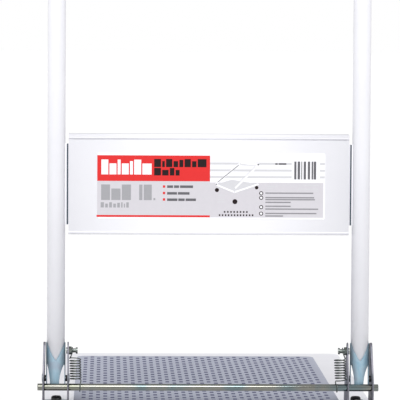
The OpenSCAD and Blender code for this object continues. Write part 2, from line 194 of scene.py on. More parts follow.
@dataclass(frozen=True)
class PlatedSteel:
    """Steel with a thin plated or blackened skin.

    Its tint drifts over patches, and fine wipe marks soften its shine.
    """

    name: str
    tints: tuple[str, str, str]
    patch_mm: float = 16.0
    smooth: float = 0.22
    rough: float = 0.38
    metallic: float = 1.0
    mark_mm: float = 0.8

    def make(self) -> bpy.types.Material:
        """Builds the material.

        Returns:
            The material.
        """
        material, tree, shader, where = new_tree(self.name)
        patch = add_node(
            tree, "ShaderNodeTexNoise",
            {"Vector": where, "Scale": grains(self.patch_mm), "Detail": 2.5, "Distortion": 0.6},
        )
        ramp = add_node(tree, "ShaderNodeValToRGB", {"Fac": patch.outputs["Fac"]})
        stops = ramp.color_ramp.elements
        stops[0].position, stops[0].color = 0.36, linear(self.tints[0])
        stops[1].position, stops[1].color = 0.64, linear(self.tints[2])
        middle = stops.new(0.5)
        middle.color = linear(self.tints[1])
        marks = add_node(
            tree, "ShaderNodeTexNoise", {"Vector": where, "Scale": grains(self.mark_mm), "Detail": 3.0}
        )
        gloss = add_node(
            tree, "ShaderNodeMapRange",
            {"Value": marks.outputs["Fac"], "To Min": self.smooth, "To Max": self.rough},
        )
        bump = add_node(
            tree, "ShaderNodeBump", {"Height": marks.outputs["Fac"], "Strength": 0.08, "Distance": 0.0001}
        )
        tree.links.new(ramp.outputs["Color"], shader.inputs["Base Color"])
        tree.links.new(gloss.outputs["Result"], shader.inputs["Roughness"])
        tree.links.new(bump.outputs["Normal"], shader.inputs["Normal"])
        shader.inputs["Metallic"].default_value = self.metallic
        return material


@dataclass(frozen=True)
class Moulded:
    """Moulded rubber or plastic, or flat paint: a grained, softly shining skin with scuffs.

    Where its painted shade is below 1, that is the share of its colour that is left at the handle end,
    and a pair of Y values gives where that painted shade starts to fade and where it ends, in metres along
    the deck.
    """

    name: str
    base: str
    worn: str
    grain_mm: float = 1.0
    smooth: float = 0.45
    rough: float = 0.65
    bump: float = 0.15
    gleam: float = 0.5
    painted_shade: float = 1.0
    painted_shade_y: Flat = (-0.3, -0.1)

    def make(self) -> bpy.types.Material:
        """Builds the material.

        Returns:
            The material.
        """
        material, tree, shader, where = new_tree(self.name)
        scuff = add_node(
            tree, "ShaderNodeTexNoise",
            {"Vector": where, "Scale": grains(14), "Detail": 4.0, "Roughness": 0.65},
        )
        fade = add_node(
            tree, "ShaderNodeMapRange", {"Value": scuff.outputs["Fac"], "From Min": 0.4, "From Max": 0.75}
        )
        tint = add_node(
            tree, "ShaderNodeMix",
            {"Factor": fade.outputs["Result"], "A": linear(self.base), "B": linear(self.worn)},
            data_type="RGBA",
        )
        colour = tint.outputs["Result"]
        # painted shade: darker towards the handle end of the deck
        if self.painted_shade < 1:
            colour = self._paint_shade(tree, where, colour)
        grain = add_node(
            tree, "ShaderNodeTexNoise", {"Vector": where, "Scale": grains(self.grain_mm), "Detail": 2.0}
        )
        bump = add_node(
            tree, "ShaderNodeBump",
            {"Height": grain.outputs["Fac"], "Strength": self.bump, "Distance": 0.0002},
        )
        gloss = add_node(
            tree, "ShaderNodeMapRange",
            {"Value": scuff.outputs["Fac"], "To Min": self.smooth, "To Max": self.rough},
        )
        tree.links.new(colour, shader.inputs["Base Color"])
        tree.links.new(gloss.outputs["Result"], shader.inputs["Roughness"])
        tree.links.new(bump.outputs["Normal"], shader.inputs["Normal"])
        shader.inputs["Specular IOR Level"].default_value = self.gleam
        return material

    def _paint_shade(
        self, tree: Tree, where: bpy.types.NodeSocket, colour: bpy.types.NodeSocket
    ) -> bpy.types.NodeSocket:
        """Paints shade on a colour: darker towards the handle end of the deck.

        Args:
            tree: the material's tree.
            where: its object coordinates.
            colour: the colour without painted shade.

        Returns:
            The colour with painted shade.
        """
        place = add_node(tree, "ShaderNodeSeparateXYZ", {"Vector": where})
        start, end = self.painted_shade_y
        shade_factor = add_node(
            tree, "ShaderNodeMapRange",
            {
                "Value": place.outputs["Y"], "From Min": start, "From Max": end,
                "To Min": self.painted_shade, "To Max": 1.0,
            },
        )
        mixed = add_node(
            tree, "ShaderNodeMix",
            {"Factor": shade_factor.outputs["Result"], "A": (0.0, 0.0, 0.0, 1.0), "B": colour}, data_type="RGBA",
        )
        return mixed.outputs["Result"]


@dataclass(frozen=True)
class Ink:
    """Glossy printed vinyl: solid colour with a faint press mottle."""

    name: str
    base: str
    mottle: str

    def make(self) -> bpy.types.Material:
        """Builds the material.

        Returns:
            The material.
        """
        material, tree, shader, where = new_tree(self.name)
        press = add_node(tree, "ShaderNodeTexNoise", {"Vector": where, "Scale": grains(5), "Detail": 3.0})
        tint = add_node(
            tree, "ShaderNodeMix",
            {"Factor": press.outputs["Fac"], "A": linear(self.base), "B": linear(self.mottle)},
            data_type="RGBA",
        )
        gloss = add_node(
            tree, "ShaderNodeMapRange", {"Value": press.outputs["Fac"], "To Min": 0.38, "To Max": 0.5}
        )
        tree.links.new(tint.outputs["Result"], shader.inputs["Base Color"])
        tree.links.new(gloss.outputs["Result"], shader.inputs["Roughness"])
        shader.inputs["Specular IOR Level"].default_value = 0.2
        return material


class Finish(Enum):
    """The cart's finishes."""

    # polyester powder coat, sprayed and baked: clean white and softly glossy, with a faint orange peel
    COAT = PowderCoat()
    # the same coat on the deck, dulled by use: a little flatter
    DECK_COAT = PowderCoat("white_powder_coat_worn", "EFEFF4", "E7E7ED", roughness=0.5, gleam=0.2)
    # blue passivated zinc on thin sheet: pale blue-grey, greener and more violet in patches
    BLUE_ZINC = PlatedSteel("blue_zinc_plated_sheet", ("86A8BC", "9AB4C3", "99A6B6"), 26, 0.36, 0.5, 0.22)
    # the same plating on thicker plate, where the film shows violet: darker, with a soft metal shine
    VIOLET_ZINC = PlatedSteel("violet_zinc_plated_plate", ("62656D", "6C6C76", "78757F"), 18, 0.36, 0.5, 0.5)
    # clear zinc on drawn bar: olive, straw and teal, with mirror-like streaks along it
    STRAW_ZINC = PlatedSteel("straw_zinc_plated_bar", ("7C7E72", "80807A", "6A7779"), 60, 0.07, 0.13)
    # zinc plated spring wire, drawn and wound: dull green-grey with small glints
    WIRE = PlatedSteel("zinc_plated_spring_wire", ("5C6260", "777C78", "50565A"), 6, 0.2, 0.34)
    # black oxide on bolt steel: near black, with a satin light on its edges
    BLACK_STEEL = PlatedSteel("black_oxide_bolt_steel", ("0B0B0E", "15161A", "0E0D12"), 6, 0.3, 0.5, 0.6)
    # bright zinc on pressed caster steel: cool light grey, evenly shiny
    CASTER_ZINC = PlatedSteel("bright_zinc_pressed_caster", ("A4ABB1", "B2B7BC", "9FA5AF"), 25, 0.25, 0.4)
    # injection moulded nylon: black and satin, with a fine grain
    NYLON = Moulded("black_nylon_moulded", "08080A", "131316", grain_mm=0.8)
    # compression moulded rubber: charcoal and matt, with a grain that scatters light
    TYRE = Moulded(
        "black_rubber_tyre_moulded", "131314", "232325", grain_mm=0.9, smooth=0.55, rough=0.8, bump=0.3
    )
    # injection moulded polypropylene: mid grey and waxy
    HUB = Moulded("grey_polypropylene_moulded", "6D6F74", "7C7E83", grain_mm=1.2, smooth=0.4, rough=0.55)
    # brushed-on grey enamel over pressed steel: plain grey, slightly uneven
    RAIL = Moulded("grey_painted_rail", "8E9196", "9EA1A6", grain_mm=1.5, smooth=0.4, rough=0.6)
    # painted shade: a slate grey, matt strip set in the shadowed gaps between the panel's ends and the tubes
    STRIP = Moulded(
        "slate_painted_gap_shade", "3E4954", "4A545E", grain_mm=0.8, smooth=0.6, rough=0.8, gleam=0.2
    )
    # hot pressed vinyl: matt blue-grey, with painted shade that darkens it towards the handle, where the
    # handle and the bar shade it
    MAT = Moulded(
        "grey_vinyl_mat_painted_shade", "B0B4C3", "B9BCCA", grain_mm=1.2, smooth=0.55, rough=0.75, bump=0.35,
        gleam=0.04, painted_shade=0.62,
    )
    # the same vinyl on the raised pads, rubbed lighter in patches: their darker, more violet colour is
    # painted shade of the pads' edges and the hollows between them, and they are also painted darker towards
    # the handle
    MAT_PAD = Moulded(
        "grey_vinyl_pads_painted_shade", "5E607A", "6E7089", grain_mm=1.0, smooth=0.55, rough=0.75, bump=0.35,
        gleam=0.04, painted_shade=0.75,
    )
    # inks screen printed on vinyl: flat colour with a faint press mottle and a soft gloss
    RED_INK = Ink("red_printed_vinyl", "D83030", "D32D2D")
    PALE_INK = Ink("pale_grey_printed_vinyl", "CCC9CF", "C6C4CA")
    MID_INK = Ink("mid_grey_printed_vinyl", "A0A0A4", "9A9A9F")
    LINE_INK = Ink("light_line_printed_vinyl", "CDCDD1", "C8C8CD")
    SMALL_INK = Ink("small_text_printed_vinyl", "8E8D92", "86858A")
    TEXT_INK = Ink("text_grey_printed_vinyl", "67666B", "5E5D62")
    DARK_INK = Ink("black_printed_vinyl", "1A1113", "241618")
    WHITE_INK = Ink("white_printed_vinyl", "EEEEF2", "EAEAEE")


_made: dict[Finish, bpy.types.Material] = {}


def material_of(finish: Finish) -> bpy.types.Material:
    """The material of a finish, made once.

    Args:
        finish: which finish.

    Returns:
        Its material.
    """
    if finish not in _made:
        _made[finish] = finish.value.make()
    return _made[finish]


# ---------------------------------------------------------------- mesh helpers
def box_mesh(bm: Mesh, low: Point, high: Point) -> list[Vert]:
    """Adds a box between two corners.

    Args:
        bm: the mesh it joins, in millimetres.
        low: lowest corner.
        high: highest corner.

    Returns:
        Its vertices.
    """
    size = [h - l for l, h in zip(low, high)]
    middle = [(h + l) / 2 for l, h in zip(low, high)]
    place = Matrix.Translation(middle) @ Matrix.Diagonal((*size, 1))
    return bmesh.ops.create_cube(bm, size=1, matrix=place)["verts"]


def round_edges(bm: Mesh, edges: list[Edge], radius: float, segments: int = 3) -> None:
    """Rounds edges.

    Args:
        bm: the mesh.
        edges: which edges.
        radius: how far the rounding reaches.
        segments: steps across it.
    """
    bmesh.ops.bevel(
        bm, geom=edges, offset=radius, offset_type="OFFSET", segments=segments, profile=0.5, affect="EDGES",
        material=-1, clamp_overlap=True,
    )


def rod_mesh(
    bm: Mesh, start: Point, end: Point, radius: float, chamfer: float = 0.0, sides: int = 32
) -> None:
    """Adds a round rod between two points.

    Args:
        bm: the mesh it joins.
        start: middle of one end.
        end: middle of the other end.
        radius: its radius.
        chamfer: rounding of its end edges, or 0.
        sides: number of sides.
    """
    a, b = Vector(start), Vector(end)
    turn = (b - a).to_track_quat("Z", "Y").to_matrix().to_4x4()
    made = bmesh.ops.create_cone(
        bm, cap_ends=True, segments=sides, radius1=radius, radius2=radius, depth=(b - a).length,
        matrix=Matrix.Translation((a + b) / 2) @ turn,
    )["verts"]
    if chamfer:
        rims = {e for v in made for e in v.link_edges if any(len(f.verts) > 4 for f in e.link_faces)}
        round_edges(bm, list(rims), chamfer, 3)


def ring_mesh(bm: Mesh, centre: Point, profile: list[Flat], axis: Point, steps: int = 48) -> None:
    """Adds a turned ring: a closed profile spun once round an axis.

    Args:
        bm: the mesh it joins.
        centre: a point on the axis.
        profile: corners as (distance along the axis, radius).
        axis: (1, 0, 0) or (0, 0, 1).
        steps: steps of the full turn.
    """
    along = Vector(axis)
    out = Vector((0, 0, 1)) if axis[0] else Vector((1, 0, 0))
    verts = [bm.verts.new(Vector(centre) + along * a + out * r) for a, r in profile]
    edges = [bm.edges.new(pair) for pair in zip(verts, verts[1:] + verts[:1])]
    bmesh.ops.spin(
        bm, geom=verts + edges, cent=centre, axis=axis, angle=math.tau, steps=steps, use_merge=True,
        use_duplicate=False,
    )
    bmesh.ops.remove_doubles(bm, verts=bm.verts[:], dist=0.001)
    bmesh.ops.recalc_face_normals(bm, faces=bm.faces[:])


def outline_mesh(bm: Mesh, points: list[Point], corners: dict[int, float], depth: Point) -> None:
    """Adds a plate: an outline with rounded corners, given a thickness.

    Args:
        bm: the mesh it joins.
        points: the outline's corners in order.
        corners: corner number to its radius.
        depth: how far and which way the plate is thick.
    """
    verts = [bm.verts.new(p) for p in points]
    bm.faces.new(verts)
    for number, radius in corners.items():
        bmesh.ops.bevel(
            bm, geom=[verts[number]], offset=radius, offset_type="OFFSET", segments=7, profile=0.5,
            affect="VERTICES", material=-1, clamp_overlap=True,
        )
    start, way = Vector(points[0]), Vector(depth)
    face = next(f for f in bm.faces if all(abs((v.co - start).dot(way)) < 1e-4 for v in f.verts))
    made = bmesh.ops.extrude_face_region(bm, geom=[face])
    moved = [g for g in made["geom"] if isinstance(g, Vert)]
    bmesh.ops.translate(bm, vec=depth, verts=moved)
    bmesh.ops.recalc_face_normals(bm, faces=bm.faces[:])


def link(name: str, data: bpy.types.ID) -> bpy.types.Object:
    """Adds an object to the scene.

    Args:
        name: its name.
        data: its mesh, curve, light or camera.

    Returns:
        The object.
    """
    thing = bpy.data.objects.new(name, data)
    bpy.context.scene.collection.objects.link(thing)
    return thing


def piece(
    name: str, bm: Mesh, finish: Finish, body: str, replaces: tuple[str, ...] = (),
    smooth_deg: float = 32.0, rides: bool = True,
) -> bpy.types.Object:
    """Turns a mesh in millimetres into a finished object in metres.

    Args:
        name: the piece's name.
        bm: its mesh, which is used up.
        finish: its finish.
        body: the CAD body that it rides on.
        replaces: CAD nodes that it stands for.
        smooth_deg: edges sharper than this stay sharp.
        rides: False for a piece that is left unattached.

    Returns:
        The object.
    """
    bmesh.ops.scale(bm, vec=(MM, MM, MM), verts=bm.verts[:])
    mesh = bpy.data.meshes.new(name)
    bm.to_mesh(mesh)
    bm.free()
    mesh.shade_smooth()
    mesh.set_sharp_from_angle(angle=math.radians(smooth_deg))
    thing = link(name, mesh)
    mesh.materials.append(material_of(finish))
    if rides:
        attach(thing, body)
    if replaces:
        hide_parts(*replaces)
    log.info("%s: %d faces on %s", name, len(mesh.polygons), body)
    return thing


def carve(bm: Mesh, cutters: list[Mesh]) -> Mesh:
    """Cuts solids out of a solid.

    Args:
        bm: the solid, which is used up.
        cutters: what is cut away, which are used up.

    Returns:
        The carved mesh.
    """
    things = []
    for number, source in enumerate([bm, *cutters]):
        mesh = bpy.data.meshes.new(f"carving{number}")
        source.to_mesh(mesh)
        source.free()
        things.append(link(mesh.name, mesh))
    target = things[0]
    for cutter in things[1:]:
        modifier = target.modifiers.new("cut", "BOOLEAN")
        modifier.operation = "DIFFERENCE"
        modifier.solver = "EXACT"
        modifier.object = cutter
    bpy.context.view_layer.update()
    graph = bpy.context.evaluated_depsgraph_get()
    result = bmesh.new()
    result.from_object(target, graph)
    for thing in things:
        mesh = thing.data
        bpy.data.objects.remove(thing)
        bpy.data.meshes.remove(mesh)
    bmesh.ops.remove_doubles(result, verts=result.verts[:], dist=0.002)
    bmesh.ops.dissolve_limit(result, angle_limit=0.002, verts=result.verts[:], edges=result.edges[:])
    return result


def join(bm: Mesh, other: Mesh) -> None:
    """Adds one mesh to another.

    Args:
        bm: the mesh that grows.
        other: the mesh that is added, which is used up.
    """
    mesh = bpy.data.meshes.new("joined")
    other.to_mesh(mesh)
    other.free()
    bm.from_mesh(mesh)
    bpy.data.meshes.remove(mesh)


def mm_box(node: str) -> tuple[Vector, Vector]:
    """A CAD node's box in millimetres.

    Args:
        node: the node's name.

    Returns:
        Lowest and highest corner.
    """
    low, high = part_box(node)
    return low / MM, high / MM


# ---------------------------------------------------------------- deck
@dataclass
class Deck:
    """Pressed deck pan with its mat and the bolts that show on it."""

    sheet: float = 2.0
    corner: float = 18.0
    edge_roll: float = 5.0
    lip: float = 9.0
    mat_corner: float = 15.0
    pad_pitch: float = 10.4
    pad_row: float = 33.0
    pad_w: float = 6.0
    pad_l: float = 13.0
    pad_high: float = 0.5
    pad_margin: Flat = (5.0, 8.0)
    pad_taper: Flat = (0.8, 0.86)
    corner_gap: float = 16.0
    head_r: float = 7.5
    head_h: float = 5.0
    shank_r: float = 3.95
    # a bolt's head from its socket's floor to its underside, as (radius, height)
    head: tuple[Flat, ...] = (
        (0, 2.4), (2.7, 2.4), (2.7, 5), (5.6, 5), (7.1, 3.6), (7.5, 2.0), (7.5, 0), (0, 0)
    )

    def build(self) -> None:
        """Builds the pan, the mat, its pads and the bolts."""
        self._pan()
        self._mat()
        for node in ("deck_bolts", "bracket_bolts"):
            self._bolts(node)

    def _pan(self) -> None:
        """The pan: rounded box, open below, with a lip turned in under its edge."""
        low, high = mm_box("deck_pan")
        bm = bmesh.new()
        box_mesh(bm, low, high)
        upright = [e for e in bm.edges if abs(e.verts[0].co.z - e.verts[1].co.z) > 1]
        round_edges(bm, upright, self.corner, 8)
        top = [e for e in bm.edges if all(abs(v.co.z - high.z) < 0.01 for v in e.verts)]
        round_edges(bm, top, self.edge_roll, 5)
        floor = [f for f in bm.faces if all(abs(v.co.z - low.z) < 0.01 for v in f.verts)]
        bmesh.ops.inset_region(bm, faces=floor, thickness=self.lip, use_even_offset=True)
        hole = [max((f for f in bm.faces if f.normal.z < -0.9), key=lambda f: f.calc_area())]
        bmesh.ops.delete(bm, geom=hole, context="FACES")
        bmesh.ops.recalc_face_normals(bm, faces=bm.faces[:])
        if max(bm.faces, key=lambda f: f.calc_area()).normal.z < 0:
            bmesh.ops.reverse_faces(bm, faces=bm.faces[:])
        pan = piece(
            "deck_pan_pressed", bm, Finish.DECK_COAT, "platform", ("deck_pan",), 40
        )
        wall = pan.modifiers.new("sheet", "SOLIDIFY")
        wall.thickness = self.sheet * MM
        wall.offset = -1

    def _mat(self) -> None:
        """The mat: a thin sheet with round corners and columns of staggered raised pads."""
        low, high = mm_box("deck_mat")
        face_z = high.z - self.pad_high
        bm = bmesh.new()
        box_mesh(bm, low, (high.x, high.y, face_z))
        upright = [e for e in bm.edges if abs(e.verts[0].co.z - e.verts[1].co.z) > 1]
        round_edges(bm, upright, self.mat_corner, 8)
        rim = [e for e in bm.edges if all(abs(v.co.z - face_z) < 0.01 for v in e.verts)]
        round_edges(bm, rim, 0.6, 2)
        piece("deck_mat_sheet", bm, Finish.MAT, "platform", ("deck_mat",))
        pads = bmesh.new()
        side_margin, end_margin = self.pad_margin
        across = int((high.x - low.x - 2 * side_margin) // self.pad_pitch)
        along = int((high.y - low.y - 2 * end_margin) // self.pad_row)
        for i in range(across):
            x = (i - (across - 1) / 2) * self.pad_pitch
            for j in range(along):
                y = (low.y + high.y) / 2 + (j - (along - 1) / 2) * self.pad_row
                y += self.pad_row / 4 * (1 if i % 2 else -1)
                if abs(x) > high.x - self.corner_gap and abs(y) > high.y - self.corner_gap:
                    continue
                made = box_mesh(
                    pads, (x - self.pad_w / 2, y - self.pad_l / 2, face_z - 0.2),
                    (x + self.pad_w / 2, y + self.pad_l / 2, high.z),
                )
                crown = [v for v in made if v.co.z > face_z]
                about = Matrix.Translation((-x, -y, 0))
                bmesh.ops.scale(pads, vec=(*self.pad_taper, 1), verts=crown, space=about)
        # the pads' darker colour is painted shade
        piece("deck_mat_pads", pads, Finish.MAT_PAD, "platform")

    def _bolts(self, node: str) -> None:
        """Socket-headed bolts at the places of a CAD node.

        Args:
            node: the CAD node with the bolts.
        """
        low, high = mm_box(node)
        radius = self.head_r
        bm = bmesh.new()
        rows = sorted({round(low.y + radius, 3), round(high.y - radius, 3)})
        for x in (low.x + radius, high.x - radius):
            for y in rows:
                seat = high.z - self.head_h
                rod_mesh(bm, (x, y, low.z), (x, y, seat), self.shank_r, 0.4, 20)
                verts = [bm.verts.new((x + r, y, seat + z)) for r, z in self.head]
                edges = [bm.edges.new(pair) for pair in zip(verts, verts[1:])]
                bmesh.ops.spin(
                    bm, geom=verts + edges, cent=(x, y, 0), axis=(0, 0, 1), angle=math.tau, steps=32,
                    use_merge=True, use_duplicate=False,
                )
        bmesh.ops.remove_doubles(bm, verts=bm.verts[:], dist=0.01)
        bmesh.ops.recalc_face_normals(bm, faces=bm.faces[:])
        piece(node + "_socket", bm, Finish.BLACK_STEEL, "platform", (node,))


# ---------------------------------------------------------------- handle
@dataclass
class Handle:
    """U-bent tube with its cross panel and saddles."""

    tube_r: float = 12.7
    wall: float = 1.5
    bend_r: float = 90.0
    panel_sheet: float = 1.2
    lip_h: float = 6.5
    lip_proud: float = 0.9
    roll: float = 4.0
    panel_half: float = 198.5
    tab_x: Flat = (180.0, 204.2)
    tab_half: float = 57.5
    tab_t: float = 2.0
    shade_strip_w: float = 2.0
    # where the left and the right dark strip of painted shade start, along X
    shade_strip_x: Flat = (-201.2, 199.9)
    saddle_t: float = 1.0
    # how far behind the tube's middle the saddle ends, and how far where it is open lower down
    back: float = 9.0
    low_back: float = 3.6
    # the top of that opening and the start of the visible tube, over the pivot
    low_back_top: float = 19.0
    tube_foot: float = 21.0
    notch_r: float = 2.0
    window_r: float = 0.8
    # the saddle's notch from its tip up, as (half width, height over the pivot)
    notch: tuple[Flat, ...] = ((0.0, 26.0), (4.2, 32.5), (8.6, 41.0), (12.6, 51.0), (14.6, 56.0))
    # the saddle's windows, from the tube's middle and the pivot, each with the corner that is rounded
    windows: tuple[tuple[tuple[Flat, ...], int], ...] = (
        (((-16, -9), (-16, 21), (-11.9, 20.6), (-10.4, 14), (-9.0, 6), (-8.1, -2), (-8.0, -9)), 2),
        (((4.8, -9), (5.2, -2), (6.2, 5), (7.8, 11), (9.8, 16.4), (11.4, 19.6), (16, 20.4), (16, -9)), 5),
    )

    def build(self) -> None:
        """Builds the tube, the panel and both saddles."""
        self._tube()
        self._panel()
        for name, _ in SIDES:
            self._saddle(f"saddle_{name}")

    def _tube(self) -> None:
        """The tube: a ring pushed up, spun through two bends and brought down again."""
        low, high = mm_box("handle_tube")
        y = (low.y + high.y) / 2
        x = high.x - self.tube_r
        top = high.z - self.tube_r
        foot = PIVOT_Z + self.tube_foot
        bm = bmesh.new()
        ring = bmesh.ops.create_circle(
            bm, cap_ends=False, segments=40, radius=self.tube_r, matrix=Matrix.Translation((-x, y, foot))
        )["verts"]
        edges = list({e for v in ring for e in v.link_edges})

        def push(loop: list[Edge], vec: Point) -> list[Edge]:
            """Extrudes the open end.

            Args:
                loop: the open end's edges.
                vec: how far and which way.

            Returns:
                The new end's edges.
            """
            made = bmesh.ops.extrude_edge_only(bm, edges=loop)["geom"]
            bmesh.ops.translate(bm, vec=vec, verts=[g for g in made if isinstance(g, Vert)])
            return [g for g in made if isinstance(g, Edge)]

        def turn(loop: list[Edge], centre: Point) -> list[Edge]:
            """Spins the open end through a quarter bend.

            Args:
                loop: the open end's edges.
                centre: the bend's centre.

            Returns:
                The new end's edges.
            """
            made = bmesh.ops.spin(
                bm, geom=loop, cent=centre, axis=(0, 1, 0), angle=math.pi / 2, steps=20,
                use_duplicate=False,
            )["geom_last"]
            return [g for g in made if isinstance(g, Edge)]

        edges = push(edges, (0, 0, top - self.bend_r - foot))
        edges = turn(edges, (-x + self.bend_r, y, top - self.bend_r))
        edges = push(edges, (2 * (x - self.bend_r), 0, 0))
        edges = turn(edges, (x - self.bend_r, y, top - self.bend_r))
        push(edges, (0, 0, -(top - self.bend_r - foot)))
        bmesh.ops.remove_doubles(bm, verts=bm.verts[:], dist=0.01)
        bmesh.ops.recalc_face_normals(bm, faces=bm.faces[:])
        tube = piece("handle_tube_bent", bm, Finish.COAT, "handle", ("handle_tube",))
        wall = tube.modifiers.new("wall", "SOLIDIFY")
        wall.thickness = self.wall * MM
        wall.offset = -1

    def _panel(self) -> None:
        """The cross panel: a folded sheet with lips along its long edges."""
        low, high = mm_box("handle_panel")
        half = (high.z - low.z) / 2
        middle = (high.z + low.z) / 2
        face = low.y + self.lip_proud
        under, over = half - self.lip_h, -half + self.lip_h
        # from the upper edge's back, over the upper lip and its groove, down the face to the lower lip
        profile = [
            (high.y, half), (low.y, half), (low.y, under), (face + 1.3, under - 0.5),
            (face + 1.3, under - 1.6), (face, under - 2.2), (face, over - 1.0), (low.y + 0.2, over - 2.4),
            (low.y, -half), (high.y, -half),
        ]
        bm = bmesh.new()
        verts = [bm.verts.new((-self.panel_half, y, middle + z)) for y, z in profile]
        edges = [bm.edges.new(pair) for pair in zip(verts, verts[1:])]
        made = bmesh.ops.extrude_edge_only(bm, edges=edges)["geom"]
        far = [g for g in made if isinstance(g, Vert)]
        bmesh.ops.translate(bm, vec=(2 * self.panel_half, 0, 0), verts=far)
        round_edges(bm, [e for e in self._folds(bm) if self._on_rim(e, middle, half, 0.1)], self.roll, 5)
        creases = [
            e for e in self._folds(bm)
            if e.calc_face_angle(0) > 0.2 and not self._on_rim(e, middle, half, 5)
        ]
        round_edges(bm, creases, 0.3, 2)
        bmesh.ops.recalc_face_normals(bm, faces=bm.faces[:])
        if max(bm.faces, key=lambda f: f.calc_area()).normal.y > 0:
            bmesh.ops.reverse_faces(bm, faces=bm.faces[:])
        panel = piece(
            "cross_panel_folded", bm, Finish.COAT, "handle", ("handle_panel",), 25
        )
        wall = panel.modifiers.new("sheet", "SOLIDIFY")
        wall.thickness = self.panel_sheet * MM
        wall.offset = -1
        self._panel_ends(face + self.panel_sheet, middle)

    @staticmethod
    def _folds(bm: Mesh) -> list[Edge]:
        """The sheet's edges that run along X between two faces."""
        return [e for e in bm.edges if abs(e.verts[0].co.x - e.verts[1].co.x) > 1 and len(e.link_faces) == 2]

    @staticmethod
    def _on_rim(edge: Edge, middle: float, half: float, near: float) -> bool:
        """Whether a fold lies at the panel's upper or lower edge."""
        return abs(abs(edge.verts[0].co.z - middle) - half) < near

    def _panel_ends(self, back: float, middle: float) -> None:
        """The tabs behind the panel's ends, and dark strips of painted shade in the gaps between the panel
        and the tubes.

        Args:
            back: where the sheet's back is, along Y.
            middle: the panel's mid height.
        """
        tabs, shade_strips = bmesh.new(), bmesh.new()
        for _, side in SIDES:
            near, far = sorted(side * x for x in self.tab_x)
            box_mesh(
                tabs, (near, back, middle - self.tab_half), (far, back + self.tab_t, middle + self.tab_half)
            )
        # dark strips of painted shade, standing for the shadowed gaps between the panel and the tubes
        tall = self.tab_half - 0.3
        for start in self.shade_strip_x:
            box_mesh(
                shade_strips, (start, back - 0.8, middle - tall), (start + self.shade_strip_w, back + 0.2, middle + tall)
            )
        round_edges(tabs, tabs.edges[:], 0.4, 2)
        round_edges(shade_strips, shade_strips.edges[:], 0.3, 2)
        piece("cross_panel_tabs", tabs, Finish.COAT, "handle")
        piece("cross_panel_painted_gap_shade", shade_strips, Finish.STRIP, "handle")

    def _saddle(self, node: str) -> None:
        """A saddle: a bent sheet round the tube's near side, with horns, a neck and two windows.

        Args:
            node: the CAD node that it stands for.
        """
        low, high = mm_box(node)
        outer = (high.x - low.x) / 2
        x, y, z = (low.x + high.x) / 2, low.y + outer, PIVOT_Z
        inner = outer - self.saddle_t
        front = y - 20
        bm = bmesh.new()
        wall = [(low.z, inner), (low.z, outer), (high.z, outer), (high.z, inner)]
        ring_mesh(bm, (x, y, 0), wall, (0, 0, 1), 64)
        back, low_back, notch = bmesh.new(), bmesh.new(), bmesh.new()
        box_mesh(back, (x - 40, y + self.back, z - 30), (x + 40, y + 40, z + 80))
        box_mesh(low_back, (x - 40, y + self.low_back, z - 31), (x + 40, y + 41, z + self.low_back_top))
        tip = len(self.notch) - 1
        edge = [(-a, b) for a, b in reversed(self.notch)] + list(self.notch[1:])
        outline_mesh(notch, [(x + a, front, z + b) for a, b in edge], {tip: self.notch_r}, (0, 40, 0))
        cutters = [back, low_back, notch]
        for shape, corner in self.windows:
            window = bmesh.new()
            points = [(x + a, front, z + b) for a, b in shape]
            outline_mesh(window, points, {corner: self.window_r}, (0, 16.6, 0))
            cutters.append(window)
        piece(node + "_bent", carve(bm, cutters), Finish.BLUE_ZINC, "handle", (node,), 40)


# ---------------------------------------------------------------- label
# a block, from its lower left to its upper right corner
Mark = tuple[float, float, float, float]
# a word: its left end, lower edge and height, and the widths of its blocks
Word = tuple[float, float, float, tuple[float, ...]]


